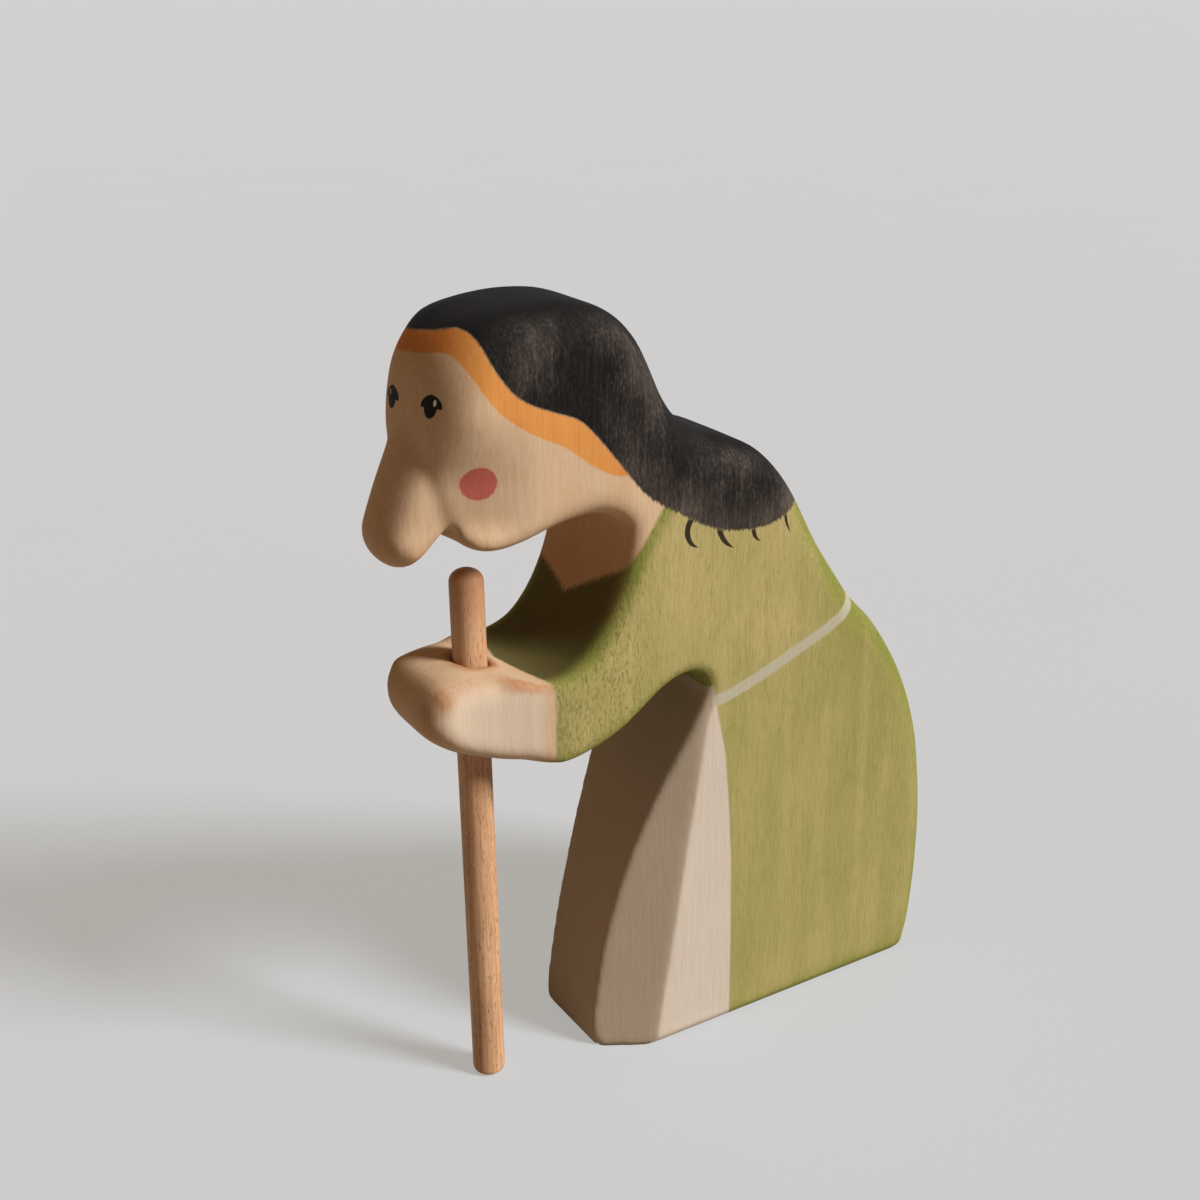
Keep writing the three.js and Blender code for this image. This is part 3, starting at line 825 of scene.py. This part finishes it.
class WITCH_OT_stick(bpy.types.Operator):
    """Round off and finish the beech walking stick"""

    bl_idname = "witch.stick"
    bl_label = "Finish the stick"

    def execute(self, context):
        shape, paint = context.scene.witch_shape, context.scene.witch_paint
        piece = blank("walking_stick", "beech_stick")
        even_out(piece, shape.stick_step)
        sand(piece, shape.stick_passes)
        bpy.ops.object.shade_smooth()
        piece.data.materials.append(paint_stick(paint))
        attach(piece, "stick")
        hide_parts("walking_stick")
        return {"FINISHED"}


def seen(start):
    """1 for the rays that show the stage itself: from the camera, off a gloss or through a glass."""
    kinds = ("Camera", "Glossy", "Transmission")
    camera, gloss, glass = (start.node("ShaderNodeLightPath", out=f"Is {kind} Ray") for kind in kinds)
    return camera.most(gloss).most(glass)


def table_top(paint):
    """Pale matt table with a faint cloudiness, hazy so that the figure's shadow stays light."""
    grain = Grain("pale_table")
    cloud = grain.streaks(0.012, 0.012, 3, 0.5)
    haze = (cloud * 0.08).over(paint.table_haze, [share * 0.8 for share in paint.table_haze])
    in_view = seen(grain.start)
    colour = in_view.over(TABLE_BOUNCE, [share * TABLE_SHARE for share in paint.table])
    glow = in_view.over((0, 0, 0), haze)
    grain.material.node_tree.links.new(glow.socket, grain.shader.inputs["Emission Color"])
    grain.shader.inputs["Emission Strength"].default_value = HAZE_SHARE
    return grain.finish(colour, 0.75 + cloud * 0.1, cloud, depth=0.02, specular=0.2)


def window_light(scene):
    """Soft light from one side, the same all over the table."""
    light = bpy.data.lights.new("window", "SUN")
    light.angle = WINDOW_SPREAD
    light.energy = WINDOW_STRENGTH
    light.color = WINDOW_COLOUR
    lamp = bpy.data.objects.new("window", light)
    scene.collection.objects.link(lamp)
    lamp.location = WINDOW_FROM
    lamp.rotation_euler = (-Vector(WINDOW_FROM)).to_track_quat("-Z", "Y").to_euler()


def surroundings(scene):
    """Weak warm light from all round, and a pale background where the table ends."""
    world = bpy.data.worlds.new("surroundings")
    world.use_nodes = True
    scene.world = world
    start = Wire(world.node_tree)
    way = start.node("ShaderNodeTexCoord", out="Generated")
    across = start.node("ShaderNodeSeparateXYZ", {}, {0: way}, out="X")
    fill = (0.5 + across * 0.45).over(SHADE_FILL, WINDOW_FILL)
    light = seen(start).over(fill, BACKGROUND)
    world.node_tree.links.new(light.socket, world.node_tree.nodes["Background"].inputs["Color"])


def set_camera(scene):
    """The camera that looks down on the figure's near side from the front."""
    camera = bpy.data.objects.new("camera", bpy.data.cameras.new("camera"))
    scene.collection.objects.link(camera)
    ahead = Vector(CAMERA_AHEAD).normalized()
    right = ahead.cross(Vector((0, 0, 1))).normalized()
    turn = Matrix((right, right.cross(ahead), -ahead)).transposed()
    camera.matrix_world = Matrix.Translation(CAMERA_PLACE) @ turn.to_4x4()
    camera.data.lens = CAMERA_LENS
    camera.data.sensor_width = CAMERA_SENSOR
    camera.data.clip_start = CAMERA_NEAREST
    scene.camera = camera


class WITCH_OT_stage(bpy.types.Operator):
    """Set a plain table, soft light and the camera round the figure"""

    bl_idname = "witch.stage"
    bl_label = "Set the stage"

    def execute(self, context):
        scene = context.scene
        bpy.ops.object.select_all(action="DESELECT")
        bpy.ops.mesh.primitive_plane_add(size=TABLE_SIDE)
        table = context.object
        table.name = "table"
        table.data.materials.append(table_top(scene.witch_paint))
        window_light(scene)
        surroundings(scene)
        set_camera(scene)
        scene.view_settings.view_transform = "Standard"
        return {"FINISHED"}


class WITCH_PT_sidebar(bpy.types.Panel):
    """Sizes, colours and steps of the painted witch"""

    bl_idname = "WITCH_PT_sidebar"
    bl_label = "Painted wooden witch"
    bl_space_type = "VIEW_3D"
    bl_region_type = "UI"
    bl_category = "Witch"

    def draw(self, context):
        for group in (context.scene.witch_shape, context.scene.witch_paint):
            box = self.layout.box()
            for name in group.__annotations__:
                box.prop(group, name)
        for operator in OPERATORS:
            self.layout.operator(operator.bl_idname)


OPERATORS = (WITCH_OT_figure, WITCH_OT_stick, WITCH_OT_stage)
CLASSES = (WitchShape, WitchPaint, *OPERATORS, WITCH_PT_sidebar)


def register():
    """Makes the sizes, colours, steps and panel known to Blender."""
    for kind in CLASSES:
        bpy.utils.register_class(kind)
    bpy.types.Scene.witch_shape = bpy.props.PointerProperty(type=WitchShape)
    bpy.types.Scene.witch_paint = bpy.props.PointerProperty(type=WitchPaint)


def unregister():
    """Takes them out again."""
    del bpy.types.Scene.witch_paint
    del bpy.types.Scene.witch_shape
    for kind in reversed(CLASSES):
        bpy.utils.unregister_class(kind)


def main():
    """Builds the witch and its stage."""
    register()
    bpy.ops.witch.figure()
    bpy.ops.witch.stick()
    bpy.ops.witch.stage()


if __name__ == "__main__":
    main()
